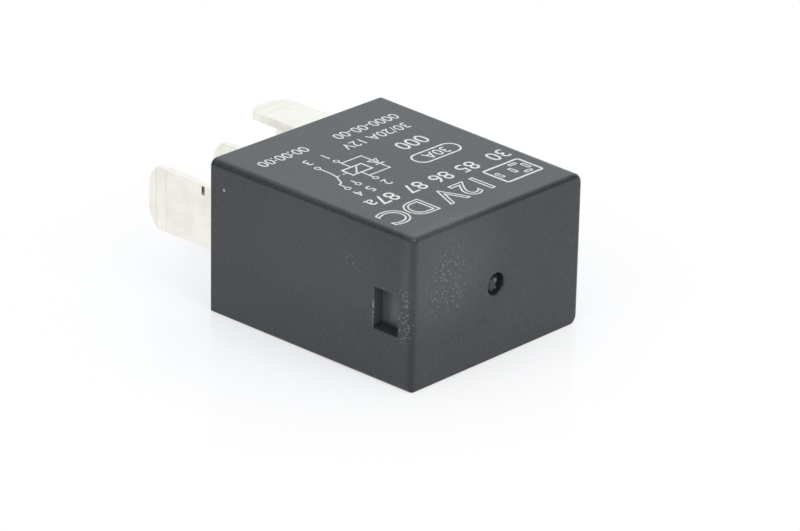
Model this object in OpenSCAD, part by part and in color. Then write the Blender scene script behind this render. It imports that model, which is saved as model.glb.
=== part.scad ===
// Micro automotive relay: changeover contact, coil with suppression diode, five blade terminals.
// Every piece is drawn standing on the socket: the seating plane is z = 0, the blades point down,
// x runs across the label, y from the back to the label face. lay() then rests the relay on its back.

/* [Cover] */
// Width of the cover across the label, at its rim
cover_w = 22.9; // [22.5:0.1:26]
// Thickness of the cover from its back to its label face, at its rim
cover_d = 15.3; // [15:0.1:18]
// Height of the cover from the seating plane to its closed end
cover_h = 25.5; // [24:0.1:30]
// Thickness of the cover's four side walls
wall = 1.0; // [0.7:0.05:1.2]
// Thickness of the cover's closed end
end_wall = 1.5; // [1.2:0.1:2.5]
// How far each side leans in from the rim to the closed end
draft = 0.2; // [0:0.05:0.4]
// Radius of the cover's long edges
edge_r = 1.0; // [0.7:0.05:1.5]
// Radius of the one long back edge beside the grip pocket
keyed_edge_r = 0.2; // [0.2:0.05:0.7]
// Radius of the edges round the closed end
end_r = 0.45; // [0.3:0.05:0.7]

/* [Grip pocket and gate mark] */
// Length of the grip pocket along the cover's height
pocket_l = 3.0; // [2:0.1:4]
// Width of the grip pocket across the narrow side
pocket_w = 4.0; // [2:0.1:6]
// Depth of the grip pocket
pocket_depth = 1.15; // [0.5:0.05:1.4]
// Distance from the closed end to the pocket
pocket_from_end = 1.75; // [1.5:0.05:3]
// How far the pocket's middle lies toward the back
pocket_shift = 0.55; // [0:0.05:1.5]
// Diameter of the round gate mark in the closed end
gate_d = 2.15; // [1.5:0.05:3]
// Depth of the gate mark
gate_depth = 0.85; // [0.3:0.05:1]
// Distance of the gate mark from the middle, toward the pocket side
gate_shift = 0.25; // [0:0.05:1]
// Distance of the gate mark below the middle, toward the back
gate_drop = 0.2; // [0:0.05:1]

/* [Base] */
// Thickness of the base plate
base_t = 2.0; // [1.6:0.1:2.4]
// Gap between the base and the cover's walls
base_gap = 0.08; // [0.02:0.01:0.15]
// Gap round each blade in its slot
slot_gap = 0.04; // [0.01:0.01:0.1]
// Width of each latch nub on the base's long sides
latch_w = 3.2; // [2:0.1:5]
// How far each latch nub stands proud of the base
latch_proud = 0.4; // [0.2:0.05:0.5]
// Thickness of the insulating wall between the coil and the contacts
barrier_t = 0.7; // [0.5:0.05:0.9]

/* [Terminals] */
// Thickness of every blade
blade_t = 0.8; // [0.6:0.05:0.9]
// Width of the three contact blades
blade_w = 6.3; // [4.8:0.1:6.5]
// Width of the two coil blades
coil_blade_w = 4.8; // [4:0.1:4.9]
// Length of the contact blades below the seating plane
blade_out = 11.3; // [8:0.1:14]
// Length of the coil blades below the seating plane
coil_blade_out = 10.2; // [7:0.1:13]
// Space between each outer contact blade and the cover's narrow wall
side_room = 1.65; // [1.5:0.05:1.9]
// Distance of the coil blades from the outer blade beside them, across the label
coil_blade_step = 3.25; // [3.1:0.05:3.5]
// Space between each coil blade and the cover's broad wall
coil_blade_room = 0.8; // [0.5:0.05:1.1]
// Size of the chamfers at a blade's tip
tip_chamfer = 1.3; // [0.5:0.05:1.6]
// Length of the coined taper at a blade's tip
tip_taper = 1.2; // [0.6:0.1:2]
// Thickness left at the very tip of a blade
tip_t = 0.36; // [0.2:0.02:0.5]

// Length of the nick in the open terminal's outer face
nick_l = 0.8; // [0.3:0.05:1.5]
// Width of the nick
nick_w = 0.4; // [0.2:0.05:0.8]
// Depth of the nick
nick_depth = 0.3; // [0.1:0.05:0.4]
// Distance of the nick below the seating plane
nick_z = 3.5; // [1:0.1:6]

/* [Magnet] */
// Thickness of the yoke's sheet
yoke_t = 1.2; // [1:0.05:1.5]
// Width of the yoke's upright leg
yoke_w = 9.0; // [7:0.1:10]
// Width of the yoke's foot under the coil
yoke_foot_w = 7.2; // [6.5:0.1:7.3]
// Clear height between the base and the yoke's foot
under_yoke = 2.2; // [2.1:0.05:2.8]
// Thickness of the copper round the tube, as a share of the core's diameter
copper_share = 0.4625; // [0.4:0.0125:0.6]
// How far the core's staked end steps in from its side
stake_step = 0.5; // [0.3:0.05:0.8]
// Gap between the core and the bobbin's tube
core_gap = 0.05; // [0.02:0.01:0.15]
// How far the pole head stands out past the core's side
pole_lip = 1.4; // [0.8:0.05:1.6]
// Thickness of the pole head
pole_t = 0.9; // [0.6:0.05:1.2]
// Wall of the bobbin's tube
tube_wall = 0.7; // [0.4:0.05:0.8]
// Thickness of the bobbin's flanges
flange_t = 0.8; // [0.5:0.05:1]
// Depth of the bobbin's flanges, from back to label side
flange_d = 11.2; // [9.4:0.1:11.8]
// How far the flanges stand proud of the winding
flange_lip = 0.2; // [0.1:0.05:0.8]

/* [Armature and contacts] */
// Thickness of the armature
armature_t = 1.2; // [0.9:0.05:1.4]
// Width of the armature
armature_w = 8.0; // [6.5:0.1:8.8]
// Angle between the open and the closed armature
open_angle = 2.6; // [1.5:0.1:3]
// Gap left between the closed armature and the pole
pole_gap = 0.1; // [0.05:0.01:0.2]
// Thickness of the leaf spring
leaf_t = 0.3; // [0.15:0.01:0.35]
// Width of the leaf spring where it is riveted
leaf_w = 6.0; // [5:0.1:6.4]
// Width of the leaf spring at the moving contact
leaf_end_w = 3.6; // [3.3:0.1:4.2]
// Distance of the contacts from the outer blade, across the label
contact_step = 1.6; // [1.5:0.05:1.8]
// Diameter of every contact
contact_d = 2.8; // [2:0.1:3]
// Height of each contact above its carrier
contact_h = 0.65; // [0.4:0.05:0.75]
// Diameter of the rivets' shanks
rivet_d = 1.2; // [0.8:0.05:1.4]
// Diameter of the rivets' heads
rivet_head_d = 2.0; // [1.6:0.1:2.4]
// Gap between a rivet's shank and the spring's leg
rivet_gap = 0.05; // [0.02:0.01:0.1]
// Height of the rivets' heads
rivet_head_h = 0.4; // [0.2:0.05:0.6]

/* [Diode] */
// Diameter of the diode's body
diode_d = 1.8; // [1.4:0.05:1.9]
// Length of the diode's body
diode_l = 3.6; // [3:0.1:5]
// Diameter of the diode's leads
lead_d = 0.5; // [0.3:0.05:0.7]

/* [Hidden] */
$fn = 48;

eps = 0.01;            // thickness of the slices that a hull joins
cut = 1;               // how far a slot or hole runs past the piece it opens
hull_fn = 32;          // facets of the rounded corners inside a hull
clear = 0.3;           // space between neighbours that must not touch
bend_r = 0.3;          // inside radius of every bend in sheet metal
hinge_lift = 0.05;     // space between the armature and the yoke's top edge
contact_touch = 0.03;  // space left where two contacts meet
head_room = 0.8;       // space above the highest strip
dome_r = 6;            // radius of the contacts' domed faces
inner_r = 0.3;         // radius of the cover's inside corners and the base's corners
latch_z = 0.6;         // where the latch nubs start above the seating plane
latch_h = 1.0;         // height of a latch nub
latch_gap = 0.05;      // space round a nub in its pocket
shelf_side = 0.8;      // width of the shelf and the strip's end on each side of their contact
corner_cut = 1.6;      // size of the armature's front corners

// the cover's corners: side in x, side in y, radius of the long edge there
CORNERS = [[-1, -1, keyed_edge_r], [1, -1, edge_r], [1, 1, edge_r], [-1, 1, edge_r]];

// across the label, from the common blade inward: the yoke's leg and the coil's near edge
common_x = cover_w / 2 - wall - side_room - blade_t / 2;
coil_blade_x = common_x - coil_blade_step;
hinge_x = common_x - blade_t / 2;
yoke_in_x = hinge_x - yoke_t;
flange_x1 = yoke_in_x - bend_r;
// and from the open blade inward: the contacts, the riser, the barrier and the coil's far edge
open_x = -common_x;
contact_x = open_x + contact_step;
riser_x0 = contact_x + contact_d / 2 + 0.2;
riser_x1 = riser_x0 + blade_t;
barrier_x = riser_x1 + clear;
flange_x0 = barrier_x + barrier_t + clear;
arm_x0 = flange_x0 - clear;
reach = hinge_x - contact_x;
flange_w = flange_x1 - flange_x0;
coil_x = (flange_x0 + flange_x1) / 2;
winding_d = min(flange_w, flange_d) - 2 * flange_lip;
core_d = (winding_d - 2 * (tube_wall + core_gap)) / (1 + 2 * copper_share);
stake_d = core_d - 2 * stake_step;
pole_d = core_d + 2 * pole_lip;

// from the back to the label side
strip_y0 = leaf_end_w / 2 + 1.1;
strip_y1 = cover_d / 2 - wall - 0.45;
shelf_w = contact_d + 2 * shelf_side;
foot_y = yoke_foot_w / 2 + clear;
coil_blade_y = cover_d / 2 - wall - coil_blade_room - blade_t / 2;

// up from the seating plane, with the armature level and closed
yoke_z = base_t + under_yoke;
bobbin_z = yoke_z + yoke_t;
winding_z = bobbin_z + flange_t;
ceiling_z = cover_h - end_wall;
closed_strip_z = ceiling_z - head_room - blade_t;
apex_over_hinge = hinge_lift + armature_t + leaf_t + contact_h;
hinge_z = closed_strip_z - contact_h - contact_touch
    - reach * sin(open_angle) - apex_over_hinge * cos(open_angle);
arm_z = hinge_z + hinge_lift;
leaf_z = arm_z + armature_t;
pole_z = arm_z - pole_gap - pole_t;
winding_h = pole_z - flange_t - winding_z;
shelf_z = leaf_z - contact_h - contact_touch - contact_h - blade_t;
common_top_z = yoke_z + 0.45 * (hinge_z - yoke_z);
leg_z = common_top_z + 0.6;

// rivets
rivet_y = leaf_w / 2 - rivet_head_d / 2 - 0.3;
arm_rivet_x = hinge_x - 3.2;
leg_rivet_z = leg_z + rivet_head_d / 2 + 0.4;
common_rivet_z = common_top_z - rivet_head_d / 2 - 0.8;
rivet_bite = 0.8;      // how deep a rivet goes into the yoke

// coil terminals above the base
tab_w = 1.8;
tab_z = bobbin_z - 0.3;
finger_w = 0.6;
post_t = 1.4;          // thickness of the two posts beside the core
finger_x = coil_blade_x - coil_blade_w / 2 + 0.35;
diode_z = base_t + under_yoke / 2;
wire_r = 0.12;

// ---------------------------------------------------------------- shared shapes

// The whole relay lies on its back, with the blades toward +y and the label up
module lay() {
    translate([0, (cover_h - blade_out) / 2, cover_d / 2]) rotate([90, 0, 0]) children();
}

// The armature and all it carries, lifted about the yoke's top edge from closed to open
module lifted() {
    translate([hinge_x, 0, hinge_z]) rotate([0, open_angle, 0]) translate([-hinge_x, 0, -hinge_z])
        children();
}

// The same thing on the back side and on the label side
module both_sides() {
    children();
    mirror([0, 1, 0]) children();
}

// A box given by its two corners
module block(low, high) {
    translate(low) cube(high - low);
}

// A rectangle with round corners, about the origin
module round_rect(w, d, r) {
    square([w - 2 * r, d], center = true);
    square([w, d - 2 * r], center = true);
    for (x = [-1, 1], y = [-1, 1]) translate([x * (w / 2 - r), y * (d / 2 - r)]) circle(r);
}

// An outline in x and z, carried along y
module from_side(y0, y1) {
    translate([0, y1, 0]) rotate([90, 0, 0]) linear_extrude(y1 - y0) children();
}

// An outline in y and z, carried along x
module from_end(x0, x1) {
    translate([x0, 0, 0]) rotate([90, 0, 90]) linear_extrude(x1 - x0) children();
}

// Part of a flat ring, less than half a turn
module ring_sector(r_in, r_out, from, to) {
    far = 3 * r_out;
    intersection() {
        difference() {
            circle(r_out);
            circle(r_in);
        }
        polygon([[0, 0], for (a = [from, (from + to) / 2, to]) far * [cos(a), sin(a)]]);
    }
}

// Sheet metal seen edge on: lengths and the turns between them, with the metal left of its path
module bent(steps, t, i = 0) {
    length = steps[i][0];
    turn = steps[i][1];
    square([length, t]);
    if (i < len(steps) - 1) {
        centre = turn > 0 ? t + bend_r : -bend_r;
        translate([length, centre]) {
            if (turn > 0) ring_sector(bend_r, bend_r + t, -90, -90 + turn);
            else ring_sector(bend_r, bend_r + t, 90 + turn, 90);
            rotate(turn) translate([0, -centre]) bent(steps, t, i + 1);
        }
    }
}

// Points along an arc
function arc(centre, r, from, to, steps = 16) =
    [for (i = [0:steps]) let (a = from + (to - from) * i / steps) centre + r * [cos(a), sin(a)]];

// A blade from the seating plane down: chamfered corners, and a tip coined thin
module blade(w, out) {
    h = w / 2;
    t = blade_t / 2;
    intersection() {
        from_end(-t, t) polygon([
            [-h, 0], [-h, tip_chamfer - out], [tip_chamfer - h, -out],
            [h - tip_chamfer, -out], [h, tip_chamfer - out], [h, 0]
        ]);
        from_side(-h, h) polygon([
            [-t, 0], [-t, 2.2 * tip_taper - out], [-0.9 * t, tip_taper - out], [-tip_t / 2, -out],
            [tip_t / 2, -out], [0.9 * t, tip_taper - out], [t, 2.2 * tip_taper - out], [t, 0]
        ]);
    }
}

// A contact standing on z = 0, with a domed face and a shank down through its carrier
module contact(shank) {
    intersection() {
        cylinder(d = contact_d, h = contact_h);
        translate([0, 0, contact_h - dome_r]) sphere(dome_r);
    }
    translate([0, 0, -shank]) cylinder(d = rivet_d, h = shank + contact_h / 2);
}

// A rivet with its head on z = 0 and its shank down
module rivet(shank) {
    cylinder(d = rivet_head_d, h = rivet_head_h);
    translate([0, 0, -shank]) cylinder(d = rivet_d, h = shank + rivet_head_h / 2);
}

// Two rivets side by side, with their heads toward +x on the plane x
module rivets_from_side(x, z, shank) {
    for (y = [-rivet_y, rivet_y]) translate([x, y, z]) rotate([0, 90, 0]) rivet(shank);
}

// ---------------------------------------------------------------- cover and base

// The cover's outside: long edges rounded, and a closed end with a rounded rim. The back is square
// to the closed end, so the relay lies flat on it; the other three sides lean in.
module cover_outside() {
    hull() for (c = CORNERS) {
        top_r = max(c[2], end_r);
        translate([c[0] * (cover_w / 2 - c[2]), c[1] * (cover_d / 2 - c[2]), 0])
            cylinder(r = c[2], h = eps, $fn = hull_fn);
        translate([
            c[0] * (cover_w / 2 - draft - top_r),
            c[1] * (cover_d / 2 - top_r) - (c[1] > 0 ? draft : 0),
            cover_h - end_r
        ])
            rotate_extrude($fn = hull_fn) intersection() {
                translate([top_r - end_r, 0]) circle(end_r, $fn = hull_fn);
                translate([0, -end_r]) square([top_r, 2 * end_r]);
            }
    }
}

// The cover's inside, one wall in from the outside
module cover_inside() {
    hull() {
        translate([0, 0, -cut]) linear_extrude(cut + eps)
            round_rect(cover_w - 2 * wall, cover_d - 2 * wall, inner_r, $fn = hull_fn);
        translate([0, -draft / 2, ceiling_z - eps]) linear_extrude(eps)
            round_rect(cover_w - 2 * (wall + draft), cover_d - 2 * wall - draft, inner_r, $fn = hull_fn);
    }
}

// A latch nub on both long sides, with its lead-in toward the coil, grown by gap for its pocket
module latches(gap) {
    inside = cover_d / 2 - wall - base_gap;
    out = inside + latch_proud + gap;
    both_sides() from_end(-latch_w / 2 - gap, latch_w / 2 + gap)
        polygon([
            [inside - gap - 0.5, latch_z - gap], [out, latch_z - gap], [out, latch_z + latch_h / 2],
            [inside, latch_z + latch_h + gap], [inside - gap - 0.5, latch_z + latch_h + gap]
        ]);
}

module cover() {
    side_x = cover_w / 2 - draft;
    pocket_z = cover_h - pocket_from_end - pocket_l;
    lay() color([0.16, 0.165, 0.175]) difference() {
        union() {
            difference() {
                cover_outside();
                cover_inside();
            }
            // the pocket is deeper than the wall, so a pad backs it
            block(
                [-side_x + wall / 2, -pocket_shift - pocket_w / 2 - wall, pocket_z - wall],
                [-side_x + pocket_depth + wall, -pocket_shift + pocket_w / 2 + wall, ceiling_z + eps]
            );
        }
        block(
            [-cover_w / 2 - cut, -pocket_shift - pocket_w / 2, pocket_z],
            [-side_x + pocket_depth, -pocket_shift + pocket_w / 2, pocket_z + pocket_l]
        );
        translate([-gate_shift, -gate_drop, cover_h - gate_depth]) difference() {
            cylinder(d = gate_d, h = gate_depth + cut);
            // the stub left where the gate broke off
            translate([-gate_d / 6, gate_d / 8, -eps]) cylinder(d = gate_d / 3, h = gate_depth / 2);
        }
        latches(latch_gap);
    }
}

// Upright slots for the three contact blades and the two coil blades
module blade_slots() {
    h = blade_w / 2 + slot_gap;
    t = blade_t / 2 + slot_gap;
    c = coil_blade_w / 2 + slot_gap;
    for (x = [open_x, 0, common_x]) block([x - t, -h, -cut], [x + t, h, base_t + cut]);
    for (y = [-coil_blade_y, coil_blade_y])
        block([coil_blade_x - c, y - t, -cut], [coil_blade_x + c, y + t, base_t + cut]);
}

module base() {
    post_y = yoke_foot_w / 2 - 0.2;
    lay() color([0.13, 0.13, 0.14]) {
        difference() {
            union() {
                linear_extrude(base_t) round_rect(
                    cover_w - 2 * (wall + base_gap), cover_d - 2 * (wall + base_gap), inner_r
                );
                // collars steady the two outer blades
                for (x = [open_x, common_x]) block(
                    [x - blade_t / 2 - 0.7, -blade_w / 2 - 0.7, base_t / 2],
                    [x + blade_t / 2 + 0.7, blade_w / 2 + 0.7, base_t + 0.8]
                );
            }
            blade_slots();
            for (x = [open_x, common_x]) block(
                [x - blade_t / 2 - slot_gap, -blade_w / 2 - slot_gap, base_t],
                [x + blade_t / 2 + slot_gap, blade_w / 2 + slot_gap, base_t + cut]
            );
        }
        latches(0);
        // posts carry the yoke's foot, two beside the core and one by the leg
        both_sides()
            block([blade_t / 2 + clear, post_y - post_t, base_t], [coil_x + 1.2, post_y, yoke_z]);
        block(
            [yoke_in_x - 0.3, -post_y, base_t],
            [hinge_x - 0.75, post_y, yoke_z]
        );
        // the insulating wall, notched over the foot of the closed terminal
        difference() {
            block(
                [barrier_x, -flange_d / 2, base_t - eps],
                [barrier_x + barrier_t, flange_d / 2, pole_z - flange_t]
            );
            block(
                [barrier_x - cut, -blade_w / 2 - 0.15, base_t],
                [barrier_x + barrier_t + cut, flange_d / 2 + cut, base_t + bend_r + blade_t + 0.15]
            );
        }
    }
}

// ---------------------------------------------------------------- terminals

// Coil blades: a broad blade with a shoulder, a tab for the diode and a finger for the coil wire
module coil_terminal() {
    difference() {
        translate([coil_blade_x, coil_blade_y, 0]) rotate([0, 0, 90]) union() {
            blade(coil_blade_w, coil_blade_out);
            from_end(-blade_t / 2, blade_t / 2) union() {
                translate([-coil_blade_w / 2, -eps]) square([coil_blade_w, base_t + 0.6 + eps]);
                translate([-tab_w / 2, base_t]) square([tab_w, tab_z - base_t]);
                translate([coil_blade_x - finger_x - finger_w / 2, base_t])
                    square([finger_w, tab_z - base_t]);
            }
        }
        translate([coil_blade_x, 0, diode_z]) rotate([-90, 0, 0]) cylinder(d = lead_d, h = cover_d);
    }
}

module coil_terminal_1() {
    lay() color([0.86, 0.85, 0.81]) coil_terminal();
}

module coil_terminal_2() {
    lay() color([0.86, 0.85, 0.81]) mirror([0, 1, 0]) coil_terminal();
}

// The common blade runs up the yoke's back and is riveted there
module common_terminal_3() {
    h = blade_w / 2;
    lay() color([0.86, 0.85, 0.81]) difference() {
        translate([common_x, 0, 0]) union() {
            blade(blade_w, blade_out);
            from_end(-blade_t / 2, blade_t / 2) polygon([
                [-h, -eps], [-h, common_top_z - 0.8], [0.8 - h, common_top_z],
                [h - 0.8, common_top_z], [h, common_top_z - 0.8], [h, -eps]
            ]);
        }
        for (y = [-rivet_y, rivet_y]) translate([hinge_x - cut, y, common_rivet_z]) rotate([0, 90, 0])
            cylinder(d = rivet_d, h = blade_t + 2 * cut);
    }
}

// The middle blade turns under the barrier, climbs beside the contacts and reaches over the spring
module closed_terminal_4() {
    turn = blade_t + bend_r;
    h = blade_w / 2;
    foot_top = base_t + turn;
    lay() color([0.86, 0.85, 0.81]) difference() {
        union() {
            blade(blade_w, blade_out);
            intersection() {
                from_side(-h, strip_y1) translate([blade_t / 2, -eps]) rotate(90) bent([
                    [base_t + eps, 90],
                    [blade_t / 2 - turn - bend_r - riser_x1, -90],
                    [closed_strip_z + blade_t - turn - foot_top - bend_r, 90],
                    [riser_x1 - turn - contact_x + contact_d / 2, 0]
                ], blade_t);
                // the blank's outline: wide foot, narrow riser, wide end over the contact
                from_end(contact_x - contact_d, cover_w / 2) polygon([
                    [-h, -eps], [-h, foot_top + 0.4], [strip_y0 - 0.8, foot_top + 0.4],
                    [strip_y0, foot_top + 1.2], [strip_y0, closed_strip_z - turn - 0.6],
                    [strip_y0 - 0.8, closed_strip_z - turn], [-shelf_w / 2, closed_strip_z - 0.5],
                    [-shelf_w / 2, ceiling_z], [strip_y1, ceiling_z], [strip_y1, base_t], [h, base_t],
                    [h, -eps]
                ]);
            }
        }
        translate([contact_x, 0, closed_strip_z - cut]) cylinder(d = rivet_d, h = blade_t + 2 * cut);
    }
}

// The outer blade climbs the narrow side and ends in a shelf under the moving contact
module open_terminal_5() {
    h = blade_w / 2;
    shelf_end = contact_x + contact_d / 2 + 0.1;
    lay() color([0.86, 0.85, 0.81]) difference() {
        union() {
            translate([open_x, 0, 0]) blade(blade_w, blade_out);
            intersection() {
                from_side(-h, h) translate([open_x + blade_t / 2, -eps]) rotate(90) bent([
                    [shelf_z - bend_r + eps, -90],
                    [shelf_end - (open_x + blade_t / 2) - bend_r, 0]
                ], blade_t);
                from_end(-cover_w / 2, 0) polygon([
                    [-h, -eps], [-h, 0.6 * shelf_z], [-shelf_w / 2, 0.6 * shelf_z + 1],
                    [-shelf_w / 2, ceiling_z], [shelf_w / 2, ceiling_z],
                    [shelf_w / 2, 0.6 * shelf_z + 1], [h, 0.6 * shelf_z], [h, -eps]
                ]);
            }
        }
        translate([contact_x, 0, shelf_z - cut]) cylinder(d = rivet_d, h = blade_t + 2 * cut);
        // a short coining nick on the outer face
        block(
            [open_x - blade_t / 2 - cut, h - nick_l - 0.15, -nick_z - nick_w],
            [open_x - blade_t / 2 + nick_depth, h - 0.15, -nick_z]
        );
    }
}

module terminal_rivets() {
    lay() color([0.75, 0.74, 0.7])
        rivets_from_side(hinge_x + blade_t, common_rivet_z, blade_t + rivet_bite);
}

// ---------------------------------------------------------------- magnet

// An angle of thick soft iron: a foot under the coil and a leg whose top edge is the hinge
module yoke() {
    h = yoke_w / 2;
    foot_x0 = coil_x - core_d / 2 - 1.5;
    lay() color([0.62, 0.62, 0.6]) difference() {
        intersection() {
            from_side(-h, h) translate([foot_x0, yoke_z]) bent([
                [hinge_x - yoke_t - bend_r - foot_x0, 90],
                [hinge_z - yoke_z - yoke_t - bend_r, 0]
            ], yoke_t);
            union() {
                // outline of the foot, then of the leg
                block([foot_x0, -yoke_foot_w / 2, yoke_z], [hinge_x, yoke_foot_w / 2, yoke_z + yoke_t + eps]);
                from_end(yoke_in_x - bend_r - eps, hinge_x) polygon([
                    [-yoke_foot_w / 2, yoke_z], [-yoke_foot_w / 2, bobbin_z + 0.4],
                    [-h, bobbin_z + 1.6], [-h, hinge_z], [h, hinge_z], [h, bobbin_z + 1.6],
                    [yoke_foot_w / 2, bobbin_z + 0.4], [yoke_foot_w / 2, yoke_z]
                ]);
            }
        }
        translate([coil_x, 0, yoke_z - cut]) cylinder(d = stake_d, h = yoke_t + 2 * cut);
        for (y = [-rivet_y, rivet_y], z = [common_rivet_z, leg_rivet_z])
            translate([hinge_x - rivet_bite, y, z]) rotate([0, 90, 0])
                cylinder(d = rivet_d, h = rivet_bite + cut);
    }
}

// The core is staked into the yoke's foot and ends in the pole head
module core() {
    lay() color([0.6, 0.6, 0.58]) translate([coil_x, 0, 0]) {
        translate([0, 0, yoke_z]) cylinder(d = stake_d, h = yoke_t + eps);
        translate([0, 0, bobbin_z]) cylinder(d = core_d, h = pole_z - bobbin_z + eps);
        translate([0, 0, pole_z]) cylinder(d = pole_d, h = pole_t);
    }
}

// A tube with two flanges and feet that stand on the base beside the yoke
module bobbin() {
    tube_r = core_d / 2 + core_gap;
    lay() color([0.85, 0.83, 0.76]) difference() {
        union() {
            translate([coil_x, 0, bobbin_z]) {
                cylinder(r = tube_r + tube_wall, h = pole_z - bobbin_z);
                linear_extrude(flange_t) round_rect(flange_w, flange_d, 1.2);
            }
            translate([coil_x, 0, pole_z - flange_t])
                linear_extrude(flange_t) round_rect(flange_w, flange_d, 1.2);
            both_sides() block(
                [blade_t / 2 + clear + 0.2, foot_y, base_t],
                [finger_x - finger_w / 2 - clear, coil_blade_y - blade_t / 2 - 0.15, bobbin_z + eps]
            );
        }
        translate([coil_x, 0, bobbin_z - cut]) cylinder(r = tube_r, h = pole_z - bobbin_z + 2 * cut);
        // notches in the lower flange let the coil wire down to the terminals
        both_sides() block(
            [finger_x - 0.35, coil_blade_y - blade_t / 2 - 3 * wire_r, bobbin_z - cut],
            [finger_x + 0.35, flange_d / 2 + cut, bobbin_z + flange_t + cut]
        );
    }
}

// The winding, with its two wire ends led down and wrapped round the terminals' fingers
module coil_winding() {
    lead_y = coil_blade_y - blade_t / 2 - wire_r;
    lead_z = winding_z + wire_r;
    wrap_z = tab_z - 1.3;
    lay() color([0.62, 0.28, 0.14]) {
        translate([coil_x, 0, winding_z]) difference() {
            cylinder(d = winding_d, h = winding_h);
            translate([0, 0, -cut])
                cylinder(r = core_d / 2 + core_gap + tube_wall, h = winding_h + 2 * cut);
        }
        both_sides() {
            translate([finger_x, winding_d / 2 - 0.8, lead_z]) rotate([-90, 0, 0])
                cylinder(r = wire_r, h = lead_y - winding_d / 2 + 0.8);
            translate([finger_x, lead_y, lead_z]) sphere(wire_r);
            translate([finger_x, lead_y, wrap_z]) cylinder(r = wire_r, h = lead_z - wrap_z);
            difference() {
                block(
                    [finger_x - finger_w / 2 - 0.2, coil_blade_y - blade_t / 2 - 0.2, wrap_z - 0.2],
                    [finger_x + finger_w / 2 + 0.2, coil_blade_y + blade_t / 2 + 0.2, wrap_z + 0.8]
                );
                block(
                    [finger_x - finger_w / 2, coil_blade_y - blade_t / 2, wrap_z - cut],
                    [finger_x + finger_w / 2, coil_blade_y + blade_t / 2, wrap_z + 1 + cut]
                );
            }
        }
    }
}

module diode() {
    lay() color([0.12, 0.12, 0.12]) translate([coil_blade_x, 0, diode_z]) rotate([-90, 0, 0])
        rotate_extrude() difference() {
            translate([0, -diode_l / 2]) square([diode_d / 2, diode_l]);
            // the body's ends are turned down a little, and it grips the leads
            for (z = [-1, 1]) translate([diode_d / 2, z * diode_l / 2]) circle(0.2);
        }
}

module diode_leads() {
    lay() color([0.8, 0.79, 0.75]) both_sides() translate([coil_blade_x, diode_l / 2, diode_z])
        rotate([-90, 0, 0]) cylinder(d = lead_d, h = coil_blade_y + blade_t / 2 + 0.4 - diode_l / 2);
}

// ---------------------------------------------------------------- armature and contacts

// A soft iron plate with its front corners cut off, resting on the yoke's top edge
module armature() {
    h = armature_w / 2;
    lay() color([0.64, 0.64, 0.62]) lifted() difference() {
        translate([0, 0, arm_z]) linear_extrude(armature_t) polygon([
            [hinge_x, -h], [hinge_x, h], [arm_x0 + corner_cut, h], [arm_x0, h - corner_cut],
            [arm_x0, corner_cut - h], [arm_x0 + corner_cut, -h]
        ]);
        for (y = [-rivet_y, rivet_y]) translate([arm_rivet_x, y, arm_z - cut])
            cylinder(d = rivet_d, h = armature_t + 2 * cut);
    }
}

// The spring seen from the side, as it stands open. Its leg leans out from the yoke, loops round the
// hinge and runs on along the armature.
module spring_side() {
    bulge = 45;
    r_in = armature_t + hinge_lift;
    r_out = r_in + leaf_t;
    top = 90 - open_angle;
    lean = (r_out * cos(bulge) - leaf_t - bend_r * (1 - cos(bulge))) / sin(bulge);
    bend_z = hinge_z - (r_out + bend_r) * sin(bulge) - lean * cos(bulge);
    hinge = [hinge_x, hinge_z];
    bend = [hinge_x + leaf_t + bend_r, bend_z];
    run = (reach + leaf_end_w) * [-sin(top), cos(top)];
    polygon(concat(
        [[hinge_x + leaf_t, leg_z]],
        arc(bend, bend_r, 180, 180 - bulge, 4),
        arc(hinge, r_out, -bulge, top),
        [hinge + r_out * [cos(top), sin(top)] + run, hinge + r_in * [cos(top), sin(top)] + run],
        arc(hinge, r_in, top, -bulge),
        arc(bend, bend_r + leaf_t, 180 - bulge, 180, 4),
        [[hinge_x, leg_z]]
    ));
}

// The spring's strip seen from above, with the armature closed: it narrows from the hinge to a
// round end. The slanted sides run on past the strip's own edges.
module spring_plan() {
    e = leaf_end_w / 2;
    w = leaf_w - e;
    narrow_x = arm_x0 + 1.5;
    wide_x = 2 * (arm_rivet_x - 1.6) - narrow_x;
    end_x = max(wide_x, hinge_x) + cut;
    polygon([
        [contact_x, -e], [narrow_x, -e], [wide_x, -w], [end_x, -w],
        [end_x, w], [wide_x, w], [narrow_x, e], [contact_x, e]
    ]);
    translate([contact_x, 0]) circle(e);
}

// One strip of spring bronze: riveted to the yoke's back, looped round the hinge, laid on the
// armature and riveted to it, and ending round the moving contact
module contact_spring() {
    h = leaf_w / 2;
    window = leaf_w - 2 * 1.7;
    lay() color([0.78, 0.56, 0.3]) difference() {
        intersection() {
            from_side(-h, h) spring_side();
            union() {
                block([hinge_x - cut, -h - cut, leg_z - cut], [cover_w / 2, h + cut, ceiling_z]);
                lifted() translate([0, 0, hinge_z]) linear_extrude(ceiling_z - hinge_z) spring_plan();
            }
        }
        // a window through the loop leaves two narrow arms to flex
        block(
            [hinge_x - 0.8, -window / 2, hinge_z - armature_t - leaf_t],
            [cover_w / 2, window / 2, ceiling_z]
        );
        for (y = [-rivet_y, rivet_y]) {
            translate([hinge_x - cut, y, leg_rivet_z]) rotate([0, 90, 0])
                cylinder(d = rivet_d + 2 * rivet_gap, h = leaf_t + 2 * cut);
            lifted() translate([arm_rivet_x, y, leaf_z - cut]) cylinder(d = rivet_d, h = leaf_t + 2 * cut);
        }
        lifted() translate([contact_x, 0, leaf_z - cut]) cylinder(d = rivet_d, h = leaf_t + 2 * cut);
    }
}

module armature_rivets() {
    lay() color([0.75, 0.74, 0.7]) lifted() for (y = [-rivet_y, rivet_y])
        translate([arm_rivet_x, y, leaf_z + leaf_t]) rivet(leaf_t + armature_t);
}

module spring_rivets() {
    lay() color([0.75, 0.74, 0.7])
        rivets_from_side(hinge_x + leaf_t, leg_rivet_z, leaf_t + rivet_bite);
}

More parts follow.
